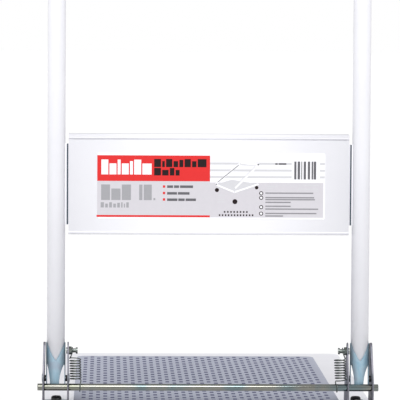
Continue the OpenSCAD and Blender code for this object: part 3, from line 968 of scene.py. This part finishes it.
@dataclass
class Label:
    """Printed vinyl label on the panel, measured from the panel's middle.

    Plain blocks stand for its words.
    """

    proud: float = 0.35
    ink: float = 0.06
    panel_lip: float = 0.9
    red: tuple[Mark, ...] = ((-158.2, 4.6, 1.3, 41.0), (-159, -46.4, 1.3, -43.6))
    pale: tuple[Mark, ...] = ((-158.2, -43.6, 1.3, 4.6), (1.3, -46.4, 162, 3.0))
    bullets: tuple[Mark, ...] = tuple((-65.3, z - 1.7, -62.0, z + 1.7) for z in (-3.0, -12.2, -21.3))
    lines: tuple[Mark, ...] = tuple(
        (start, z, end, z + 3.0) for start, end in ((1.3, 117), (157, 164)) for z in (28.4, 18.8, 9.4)
    )
    faint: tuple[Mark, ...] = (
        (82, -3.0, 97, -1.6), (82, -5.8, 91, -4.6), (133.5, -1.0, 155, 0.4), (126.5, -6.4, 155, -5.0),
        (149, -9.0, 155, -7.8), (13, -15.6, 24, -14.4), (12, -21.4, 21, -20.2), (12, -25.0, 21, -23.8),
    )
    # the step lines: lower edge and right end
    steps: tuple[Flat, ...] = (
        (-12.6, 147.8), (-19.0, 149.0), (-21.8, 150.2), (-25.7, 115.8), (-31.2, 115.8), (-35.2, 154.9),
        (-41.4, 152.5), (-45.0, 105.2),
    )
    step_start: float = 79.9
    step_tall: float = 1.8
    rings: tuple[float, ...] = (-12.0, -18.4, -31.6, -40.8)
    ring_x: float = 74.0
    white_words: tuple[Word, ...] = ((-152.4, 13.9, 21.0, (9.8, 9.8, 4.2, 9.8, 4.2, 10.0, 13.0)),)
    dark_words: tuple[Word, ...] = (
        (-77.8, 24.6, 11.4, (9.6, 3.6, 8.8, 6.4, 5.6, 8.8, 6.2, 12.4)),
        (-77.8, 12.7, 10.6, (9.6, 9.0, 6.4, 5.6)),
    )
    grey_words: tuple[Word, ...] = (
        (-152.6, -22.4, 22.0, (12.6, 13.0, 13.0)), (-98.8, -22.4, 22.0, (4.6,)),
        (-92.4, -22.4, 22.0, (11.4,)), (-78.6, -22.4, 3.0, (2.6,)),
    )
    soft_words: tuple[Word, ...] = ((-153.2, -33.0, 7.4, (4.6, 3.8, 4.0, 3.8, 3.8, 2.0, 1.6, 3.6)),)
    text_words: tuple[Word, ...] = (
        (-59.3, -4.9, 3.6, (8.4, 7.2, 18.4)), (-59.3, -14.4, 3.6, (14.0, 16.4)),
        (-59.3, -23.4, 3.6, (14.6, 9.0, 14.6)), (93.6, 28.4, 2.4, (3.4, 11.0)),
    )
    # two rows of small dark blocks: left end, lower edge, step and count
    dots: tuple[tuple[float, float, float, int], ...] = ((21.2, -39.8, 4.5, 8), (14.1, -44.4, 4.25, 12))
    dot: Flat = (2.2, 2.4)
    # upright bars: left edge and width
    bars: tuple[Flat, ...] = (
        (120.6, 3.0), (125.4, 3.4), (130.6, 1.2), (134.0, 3.2), (139.8, 3.2), (145.2, 2.2), (148.2, 3.4),
    )
    bar_z: Flat = (7.9, 33.2)
    # how much lower each block of a tall word stands, in turn
    drops: tuple[float, ...] = (0.0, 0.26, 0.0, 0.26, 0.1)

    def build(self) -> None:
        """Builds the base sheet and each ink."""
        low, high = mm_box("panel_label")
        panel_low, panel_high = mm_box("handle_panel")
        face = panel_low.y + self.panel_lip
        self._mid_z = (panel_low.z + panel_high.z) / 2
        self._front = face - self.proud
        base = bmesh.new()
        box_mesh(base, (low.x, self._front, low.z), (high.x, face, high.z))
        through = [e for e in base.edges if abs(e.verts[0].co.y - e.verts[1].co.y) > 0.1]
        round_edges(base, through, 2.0, 4)
        piece("label_base", base, Finish.WHITE_INK, "handle", ("panel_label",))
        small = tuple((self.step_start, z, end, z + self.step_tall) for z, end in self.steps)
        bars = tuple((x, self.bar_z[0], x + width, self.bar_z[1]) for x, width in self.bars)
        wide, tall = self.dot
        dots = tuple(
            (x + step * i, z, x + step * i + wide, z + tall)
            for x, z, step, count in self.dots
            for i in range(count)
        )
        for name, marks, layer, finish in (
            ("red", self.red, 1, Finish.RED_INK),
            ("pale", self.pale, 1, Finish.PALE_INK),
            ("line", self.lines, 1, Finish.LINE_INK),
            ("bullet", self.bullets, 2, Finish.RED_INK),
            ("faint", self.faint, 2, Finish.LINE_INK),
            ("small", small, 2, Finish.SMALL_INK),
            ("white", self._blocks(self.white_words), 2, Finish.WHITE_INK),
            ("mid", self._blocks(self.grey_words), 2, Finish.MID_INK),
            ("soft", self._blocks(self.soft_words), 2, Finish.MID_INK),
            ("text", self._blocks(self.text_words), 2, Finish.TEXT_INK),
            ("bar", bars, 2, Finish.TEXT_INK),
            ("dark", self._blocks(self.dark_words) + dots, 2, Finish.DARK_INK),
        ):
            self._print(f"label_{name}_print", marks, layer, finish)
        self._rings()
        self._sketch()

    def _spot(self, x: float, z: float, layer: int) -> Point:
        """A point on the label, a number of ink layers above its face."""
        return (x, self._front - layer * self.ink, self._mid_z + z)

    def _blocks(self, words: tuple[Word, ...]) -> tuple[Mark, ...]:
        """Plain blocks that stand for words.

        Args:
            words: the words.

        Returns:
            All their blocks.
        """
        marks = []
        for x, z, tall, widths in words:
            headline = tall > 5
            gap = 1.3 if not headline else 1.7 if tall == 21.0 else 1.8
            for number, width in enumerate(widths):
                drop = self.drops[number % len(self.drops)] if headline else 0.0
                marks.append((x, z, x + width, z + tall * (1 - drop)))
                x += width + gap
        return tuple(marks)

    def _print(self, name: str, marks: tuple[Mark, ...], layer: int, finish: Finish) -> None:
        """Prints blocks of one ink.

        Args:
            name: the piece's name.
            marks: the blocks.
            layer: 1 for ink on the base, 2 for ink on ink.
            finish: the ink.
        """
        bm = bmesh.new()
        for x0, z0, x1, z1 in marks:
            box_mesh(bm, self._spot(x0, z0, layer), self._spot(x1, z1, 0))
        piece(name, bm, finish, "handle")

    def _rings(self) -> None:
        """Small step circles, dark rings with a white middle."""
        for name, radius, layer, finish in (
            ("label_ring_print", 2.9, 2, Finish.DARK_INK),
            ("label_ring_middle_print", 1.7, 3, Finish.WHITE_INK),
        ):
            bm = bmesh.new()
            for z in self.rings:
                rod_mesh(bm, self._spot(self.ring_x, z, 0), self._spot(self.ring_x, z, layer), radius, 0, 20)
            piece(name, bm, finish, "handle")

    def _stroke(self, bm: Mesh, start: Flat, end: Flat, thick: float) -> None:
        """Adds one straight stroke of three ink layers.

        Args:
            bm: the mesh it joins.
            start: one end.
            end: the other end.
            thick: its width.
        """
        layers = 3
        run = Vector((end[0] - start[0], 0, end[1] - start[1]))
        place = Matrix.Translation(self._spot((start[0] + end[0]) / 2, (start[1] + end[1]) / 2, layers / 2))
        turn = Matrix.Rotation(-math.atan2(run.z, run.x), 4, "Y")
        size = Matrix.Diagonal((run.length, layers * self.ink, thick, 1))
        bmesh.ops.create_cube(bm, size=1, matrix=place @ turn @ size)

    def _sketch(self) -> None:
        """A small line drawing of a generic cart: deck, white rails and handle, three wheels."""
        left, far, right, near = (9.3, 0.3), (32.0, 7.0), (70.0, 1.0), (36.0, -10.6)
        top_left, top_right = (44.0, 30.6), (70.6, 29.0)
        white_lines = (
            (left, near), (near, right), (left, top_left), (top_left, top_right), (top_right, (37.0, -5.0))
        )
        grey_lines = (
            ((12.0, 3.4), (42.0, 28.0)), ((46.0, 28.2), (66.0, 27.0)), ((65.0, 26.0), (40.0, 1.0)),
            ((10.0, -3.6), (34.0, -13.4)), ((38.0, -13.4), (68.0, -2.0)),
        )
        deck = bmesh.new()
        corners = [self._spot(x, z, 0) for x, z in (left, far, right, near)]
        outline_mesh(deck, corners, {}, (0, -2 * self.ink, 0))
        piece("label_sketch_deck", deck, Finish.LINE_INK, "handle")
        for name, lines, thick, finish in (
            ("label_sketch_shade", grey_lines, 0.8, Finish.LINE_INK),
            ("label_sketch_frame", white_lines, 2.6, Finish.WHITE_INK),
        ):
            bm = bmesh.new()
            for start, end in lines:
                self._stroke(bm, start, end, thick)
            piece(name, bm, finish, "handle")
        wheels = bmesh.new()
        for x, z, radius in ((11.2, -7.6, 2.9), (67.4, -4.0, 2.5), (36.8, -24.0, 3.5)):
            rod_mesh(wheels, self._spot(x, z, 0), self._spot(x, z, 4), radius, 0, 20)
        piece("label_sketch_wheels", wheels, Finish.DARK_INK, "handle")


# ---------------------------------------------------------------- brackets, bar and springs
@dataclass
class Brackets:
    """The two fold brackets: a foot with two cheeks, slotted for the release bar."""

    plate: float = 2.0
    bar_r: float = 5.4
    travel: float = 9.0
    lean: float = 2.3
    lean_out: float = 1.0

    def build(self) -> None:
        """Builds both brackets."""
        for name, outside in SIDES:
            self._bracket(f"bracket_{name}", outside)

    def _bracket(self, node: str, outside: int) -> None:
        """One bracket.

        Args:
            node: the CAD node that it stands for.
            outside: which way its outer cheek lies, -1 or 1.
        """
        low, high = mm_box(node)
        x, y, z = (low.x + high.x) / 2, PIVOT_Y, PIVOT_Z
        half = (high.x - low.x) / 2
        bar_low, bar_high = mm_box("release_bar")
        bm = bmesh.new()
        shape = [
            (low.y, low.z), (high.y, low.z), (high.y, low.z + 9), (y + 11.5, high.z - 12), (y + 4, high.z),
            (y - 8, high.z), (y - 13.0, high.z - 14), (low.y, z + 2),
        ]
        radii = {2: 5.0, 3: 5.0, 4: 6.0, 5: 6.0, 6: 6.0, 7: 10.0}
        for side in (-1, 1):
            plate = bmesh.new()
            start = x - half if side < 0 else x + half - self.plate
            outline_mesh(plate, [(start, a, b) for a, b in shape], radii, (self.plate, 0, 0))
            slot = bmesh.new()
            bar = Vector((start - 1, (bar_low.y + bar_high.y) / 2, (bar_low.z + bar_high.z) / 2))
            rod_mesh(slot, bar, bar + Vector((4, 0, 0)), self.bar_r, 0, 32)
            lower = bmesh.new()
            pressed = bar + Vector((0, 0, -self.travel))
            rod_mesh(lower, pressed, bar + Vector((4, 0, -self.travel)), self.bar_r, 0, 32)
            middle = bmesh.new()
            box_mesh(
                middle, bar + Vector((0, -self.bar_r, -self.travel)), bar + Vector((4, self.bar_r, 0))
            )
            plate = carve(plate, [slot, lower, middle])
            if side == outside:
                for vert in plate.verts:
                    inside = abs(vert.co.x - x) < half - self.plate / 2
                    shift = self.lean if inside else self.lean_out
                    vert.co.x -= side * shift * max(0.0, (vert.co.z - z) / (high.z - z))
            join(bm, plate)
        foot = bmesh.new()
        box_mesh(foot, (low.x + 0.4, low.y, low.z), (high.x - 0.4, high.y, low.z + self.plate))
        join(bm, foot)
        thing = piece(node + "_folded", bm, Finish.VIOLET_ZINC, "platform", (node,), 30)
        soft = thing.modifiers.new("edges", "BEVEL")
        soft.width = 0.3 * MM
        soft.segments = 2
        soft.limit_method = "ANGLE"
        soft.angle_limit = math.radians(50)


@dataclass
class Release:
    """The release bar and its two extension springs."""

    bar_r: float = 5.0
    wire: float = 1.6
    lean: float = 0.9
    coil: float = 17.0
    turns: int = 9
    stud: Flat = (PIVOT_Y - 5, PIVOT_Z + 40)
    bar: Flat = (0.0, 0.0)

    def build(self) -> None:
        """Builds the bar and the springs."""
        low, high = mm_box("release_bar")
        self.bar = ((low.y + high.y) / 2, (low.z + high.z) / 2)
        bm = bmesh.new()
        rod_mesh(bm, (low.x, *self.bar), (high.x, *self.bar), self.bar_r, 0.8, 40)
        piece("release_bar_plated", bm, Finish.STRAW_ZINC, "bar", ("release_bar",))
        for name, side in SIDES:
            self._spring(side, f"spring_{name}")

    def _path(self, length: float) -> list[Vector]:
        """The wire's line, upwards along Z from the bar to the stud, +X away from the cheek.

        Args:
            length: from the bar to the stud.

        Returns:
            Points along the wire.
        """
        ring = (self.coil - self.wire) / 2
        hook_low, hook_high = self.bar_r + self.wire / 2 + 0.5, 3 + self.wire / 2 + 0.5
        x_low, x_high = ring - 2, -ring + 3.6
        start_deg, bottom = 40.0, 10.5
        end_deg = start_deg + self.turns * 360 - 220
        tall = self.turns * (length - 20) / (self.turns + 0.5)
        steps = self.turns * 24
        coil = []
        for i in range(steps + 1):
            part = i / steps
            a = math.radians(start_deg + (end_deg - start_deg) * part)
            coil.append(Vector((ring * math.cos(a), ring * math.sin(a), bottom + tall * part)))
        low = []
        for a in range(310, 89, -15):
            t = math.radians(a)
            low.append(Vector((x_low, hook_low * math.sin(t), hook_low * math.cos(t))))
        high = []
        for a in range(90, -131, -15):
            t = math.radians(a)
            high.append(Vector((x_high, -hook_high * math.sin(t), length + hook_high * math.cos(t))))
        first, last = math.radians(start_deg), math.radians(end_deg)
        into = Vector((-math.sin(first), math.cos(first), 0))
        out = Vector((-math.sin(last), math.cos(last), 0))

        def bend(a: Vector, b: Vector, c: Vector, d: Vector) -> list[Vector]:
            """A smooth bend between two stretches.

            Args:
                a: the end of the one.
                b: where it is heading.
                c: where the other comes from.
                d: the start of the other.

            Returns:
                The points between them.
            """
            made = []
            for i in range(1, 9):
                t, s = i / 9, 1 - i / 9
                made.append(s**3 * a + 3 * s * s * t * b + 3 * s * t * t * c + t**3 * d)
            return made

        lift = Vector((0, 0, 0.6))
        lead_in = bend(low[-1], low[-1] + Vector((0, 0, 6)), coil[0] - 5 * into - lift, coil[0])
        lead_out = bend(coil[-1], coil[-1] + 5 * out + lift, high[0] - Vector((0, 0, 5)), high[0])
        return [*low, *lead_in, *coil, *lead_out, *high]

    def _spring(self, side: int, node: str) -> None:
        """One spring, which stretches between the platform and the bar.

        Args:
            side: -1 for the left spring, 1 for the right.
            node: the CAD node that it stands for.
        """
        low, high = mm_box(node)
        x = (low.x + high.x) / 2
        back, up = self.stud[0] - self.bar[0], self.stud[1] - self.bar[1]
        turn = Matrix.Rotation(-math.atan2(back, up), 4, "X")
        place = Matrix.Translation((x, *self.bar)) @ turn @ Matrix.Diagonal((-side, side, 1, 1))
        length = math.hypot(back, up)
        line = [place @ p for p in self._path(length)]
        for point in line:
            part = (point.z - self.bar[1]) / up
            point.x -= self.lean * (2 * min(max(part, 0.15), 0.8) - 0.95)
        curve = bpy.data.curves.new(node + "_line", "CURVE")
        curve.dimensions = "3D"
        curve.bevel_depth = self.wire / 2
        curve.bevel_resolution = 2
        curve.use_fill_caps = True
        spline = curve.splines.new("POLY")
        spline.points.add(len(line) - 1)
        for point, where in zip(spline.points, line):
            point.co = (*where, 1)
        holder = link(node + "_line", curve)
        bpy.context.view_layer.update()
        graph = bpy.context.evaluated_depsgraph_get()
        mesh = bpy.data.meshes.new_from_object(holder.evaluated_get(graph))
        bm = bmesh.new()
        bm.from_mesh(mesh)
        bpy.data.objects.remove(holder)
        bpy.data.curves.remove(curve)
        bpy.data.meshes.remove(mesh)
        bmesh.ops.remove_doubles(bm, verts=bm.verts[:], dist=0.001)
        bmesh.ops.recalc_face_normals(bm, faces=bm.faces[:])
        thing = piece(node + "_wound", bm, Finish.WIRE, "", (node,), 60, rides=False)
        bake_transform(thing)


@dataclass
class Pivots:
    """Two short rivets and two nylon bushes at each side, on which the handle turns."""

    saddle_r: float = 13.75
    cheek_in: float = 16.5
    cheek_out: float = 18.5
    pin_r: float = 3.0
    head_r: float = 6.5
    bush_r: float = 4.5

    def build(self) -> None:
        """Builds the rivets and the bushes."""
        start, out, head = self.saddle_r - 0.95, self.cheek_out, self.head_r
        dome = [
            (start, 0.0), (start, self.pin_r), (out, self.pin_r), (out, head), (out + 0.6, head),
            (out + 1.2, head - 1.2), (out + 1.5, head - 3.0), (out + 1.5, 0.0),
        ]
        near, far = self.saddle_r + 0.05, self.cheek_in - 0.3
        bore, skin = self.pin_r + 0.05, self.bush_r
        sleeve = [
            (near, bore), (near, skin - 0.3), (self.saddle_r + 0.35, skin), (self.cheek_in - 0.6, skin),
            (far, skin - 0.3), (far, bore),
        ]
        pins, bushes = bmesh.new(), bmesh.new()
        for _, side in SIDES:
            for end in (-1, 1):
                centre = (side * TUBE_X, PIVOT_Y, PIVOT_Z)
                ring_mesh(pins, centre, [(end * a, r) for a, r in dome], (1, 0, 0), 28)
                ring_mesh(bushes, centre, [(end * a, r) for a, r in sleeve], (1, 0, 0), 28)
        piece("pivot_rivets", pins, Finish.CASTER_ZINC, "platform", ("pivot_pins",))
        piece("pivot_sleeves", bushes, Finish.NYLON, "handle", ("pivot_bushes",))


# ---------------------------------------------------------------- wheels
@dataclass
class Wheels:
    """Four wheels: a moulded hub with ribs in a rubber tyre with a rounded tread."""

    kinds: tuple[str, ...] = ("swivel", "fixed")
    ribs: int = 6
    groove: float = 0.7

    def build(self) -> None:
        """Builds each wheel."""
        for kind in self.kinds:
            for name, _ in SIDES:
                body = f"{kind}_wheel_{name}"
                self._tyre(f"{kind}_tyre_{name}", body)
                self._hub(f"{kind}_hub_{name}", body)

    def _tyre(self, node: str, body: str) -> None:
        """One tyre.

        Args:
            node: the CAD node that it stands for.
            body: the wheel's body.
        """
        low, high = mm_box(node)
        centre, w, r = (low + high) / 2, (high.x - low.x) / 2, (high.z - low.z) / 2
        half = [
            (0.0, r), (w - 10.6, r), (w - 10.0, r - self.groove), (w - 9.0, r - self.groove),
            (w - 8.4, r - 0.2), (w - 4.5, r - 0.8), (w - 2.0, r - 2.2), (w - 0.6, r - 4.4),
            (w, r - 7.2), (w - 0.3, r - 10.4), (w - 1.2, r - 12.0),
        ]
        profile = half + [(-a, b) for a, b in reversed(half[1:])]
        bm = bmesh.new()
        ring_mesh(bm, tuple(centre), profile, (1, 0, 0), 72)
        piece(node + "_tread", bm, Finish.TYRE, body, (node,))

    def _hub(self, node: str, body: str) -> None:
        """One hub.

        Args:
            node: the CAD node that it stands for.
            body: the wheel's body.
        """
        low, high = mm_box(node)
        centre, w, r = (low + high) / 2, (high.x - low.x) / 2, (high.z - low.z) / 2
        half = [
            (w, 4.3), (w, 9.4), (w - 0.8, 10.2), (4.0, 11.4), (2.5, 13.0), (2.5, r - 8.0), (4.0, r - 6.0),
            (w - 2.6, r - 4.4), (w - 2.0, r - 3.8), (w - 2.0, r - 0.4), (w - 2.4, r),
        ]
        profile = half + [(-a, b) for a, b in reversed(half)]
        bm = bmesh.new()
        ring_mesh(bm, tuple(centre), profile, (1, 0, 0), 72)
        for number in range(self.ribs):
            rib = box_mesh(bm, (-w + 4.5, -1.3, 9.0), (w - 4.5, 1.3, r - 4.6))
            spot = Matrix.Translation(centre) @ Matrix.Rotation(math.tau * number / self.ribs, 4, "X")
            bmesh.ops.transform(bm, matrix=spot, verts=rib)
            long = [e for e in {e for v in rib for e in v.link_edges} if e.calc_length() > 12]
            round_edges(bm, long, 0.5, 2)
        piece(node + "_ribbed", bm, Finish.HUB, body, (node,))


# ---------------------------------------------------------------- carried-over nodes
@dataclass
class Fittings:
    """CAD nodes whose shape stays and that get their finish here."""

    finishes: dict[str, Finish] = field(
        default_factory=lambda: {
            "cross_rails": Finish.RAIL,
            "bracket_nuts": Finish.BLACK_STEEL,
            "deck_nuts": Finish.BLACK_STEEL,
            "spring_studs": Finish.WIRE,
            "stud_nuts": Finish.WIRE,
            "swivel_plates": Finish.CASTER_ZINC,
            "swivel_races": Finish.CASTER_ZINC,
            "kingpins": Finish.CASTER_ZINC,
            "fixed_forks": Finish.CASTER_ZINC,
            "fixed_axles": Finish.CASTER_ZINC,
            "caster_bolts": Finish.CASTER_ZINC,
            "caster_nuts": Finish.CASTER_ZINC,
            "swivel_fork_left": Finish.CASTER_ZINC,
            "swivel_fork_right": Finish.CASTER_ZINC,
            "swivel_axle_left": Finish.CASTER_ZINC,
            "swivel_axle_right": Finish.CASTER_ZINC,
        }
    )

    def dress(self, nodes: dict[str, bpy.types.Object]) -> None:
        """Gives each node its finish.

        Args:
            nodes: the frame's CAD nodes.
        """
        for name, finish in self.finishes.items():
            slots = nodes[name].data.materials
            slots.clear()
            slots.append(material_of(finish))
            log.info("%s: dressed as %s", name, finish.name)


# ---------------------------------------------------------------- stage
@dataclass
class Studio:
    """Pale floor, soft light and the camera."""

    eye: Point = (-147.5, -4831.9, 716.6)
    yaw_deg: float = 1.72
    pitch_deg: float = -3.3
    roll_deg: float = 0.34
    lens: float = 286.1
    low_glow: float = 0.66
    high_glow: float = 0.9
    back_glow: float = 0.6
    sun: float = 1.56

    def build(self) -> None:
        """Builds the floor, the lights, the world and the camera."""
        self._floor()
        self._world()
        self._sun()
        self._camera()

    def _floor(self) -> None:
        """A wide pale floor."""
        bm = bmesh.new()
        bmesh.ops.create_grid(bm, x_segments=1, y_segments=1, size=60)
        mesh = bpy.data.meshes.new("floor")
        bm.to_mesh(mesh)
        bm.free()
        floor = link("floor", mesh)
        material, _, shader, _ = new_tree("matt_pale_floor")
        shader.inputs["Base Color"].default_value = linear("FCFCFC")
        shader.inputs["Roughness"].default_value = 0.9
        mesh.materials.append(material)

    def _world(self) -> None:
        """A soft surround, brighter overhead and behind the cart, and plain white to the camera."""
        world = bpy.data.worlds.new("surround")
        bpy.context.scene.world = world
        world.use_nodes = True
        tree = world.node_tree
        glow = tree.nodes["Background"]
        glow.inputs["Color"].default_value = (1, 1, 1, 1)
        where = add_node(tree, "ShaderNodeTexCoord").outputs["Generated"]
        way = add_node(tree, "ShaderNodeSeparateXYZ", {"Vector": where})
        up = add_node(
            tree, "ShaderNodeMapRange",
            {
                "Value": way.outputs["Z"], "From Min": 0.0, "From Max": 0.8,
                "To Min": self.low_glow, "To Max": self.high_glow,
            },
        )
        back = add_node(
            tree, "ShaderNodeMapRange",
            {"Value": way.outputs["Y"], "From Min": -0.1, "From Max": 0.6, "To Min": 0.0, "To Max": 1.0},
        )
        mixed = add_node(
            tree, "ShaderNodeMix",
            {"Factor": back.outputs["Result"], "A": up.outputs["Result"], "B": self.back_glow},
            data_type="FLOAT",
        )
        seen = add_node(tree, "ShaderNodeLightPath").outputs["Is Camera Ray"]
        final = add_node(
            tree, "ShaderNodeMix", {"Factor": seen, "A": mixed.outputs["Result"], "B": 1.0},
            data_type="FLOAT",
        )
        tree.links.new(final.outputs["Result"], glow.inputs["Strength"])

    def _sun(self) -> None:
        """One broad soft light from above, in front and a little to the left."""
        data = bpy.data.lights.new("key", "SUN")
        data.energy, data.angle = self.sun, math.radians(30)
        lamp = link("key", data)
        lamp.rotation_euler = Vector((0.07, 0.75, -0.66)).to_track_quat("-Z", "Y").to_euler()

    def _camera(self) -> None:
        """The camera: far back on the handle side, a little left and above, with a long lens."""
        data = bpy.data.cameras.new("camera")
        data.lens, data.sensor_width = self.lens, 36.0
        data.clip_start, data.clip_end = 0.05, 200.0
        camera = link("camera", data)
        yaw, pitch, roll = (math.radians(a) for a in (self.yaw_deg, self.pitch_deg, self.roll_deg))
        turn = Matrix.Rotation(-yaw, 4, "Z") @ Matrix.Rotation(math.pi / 2 + pitch, 4, "X")
        turn = turn @ Matrix.Rotation(roll, 4, "Z")
        camera.matrix_world = Matrix.Translation(Vector(self.eye) * MM) @ turn
        bpy.context.scene.camera = camera
        bpy.context.scene.view_settings.view_transform = "Standard"


def main() -> None:
    """Builds the cart's looks around the frame."""
    logging.basicConfig(level=logging.INFO, format="%(name)s %(message)s")
    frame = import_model()
    Studio().build()
    Deck().build()
    Handle().build()
    Label().build()
    Brackets().build()
    Pivots().build()
    Release().build()
    Wheels().build()
    Fittings().dress(frame["nodes"])


if __name__ == "__main__":
    main()
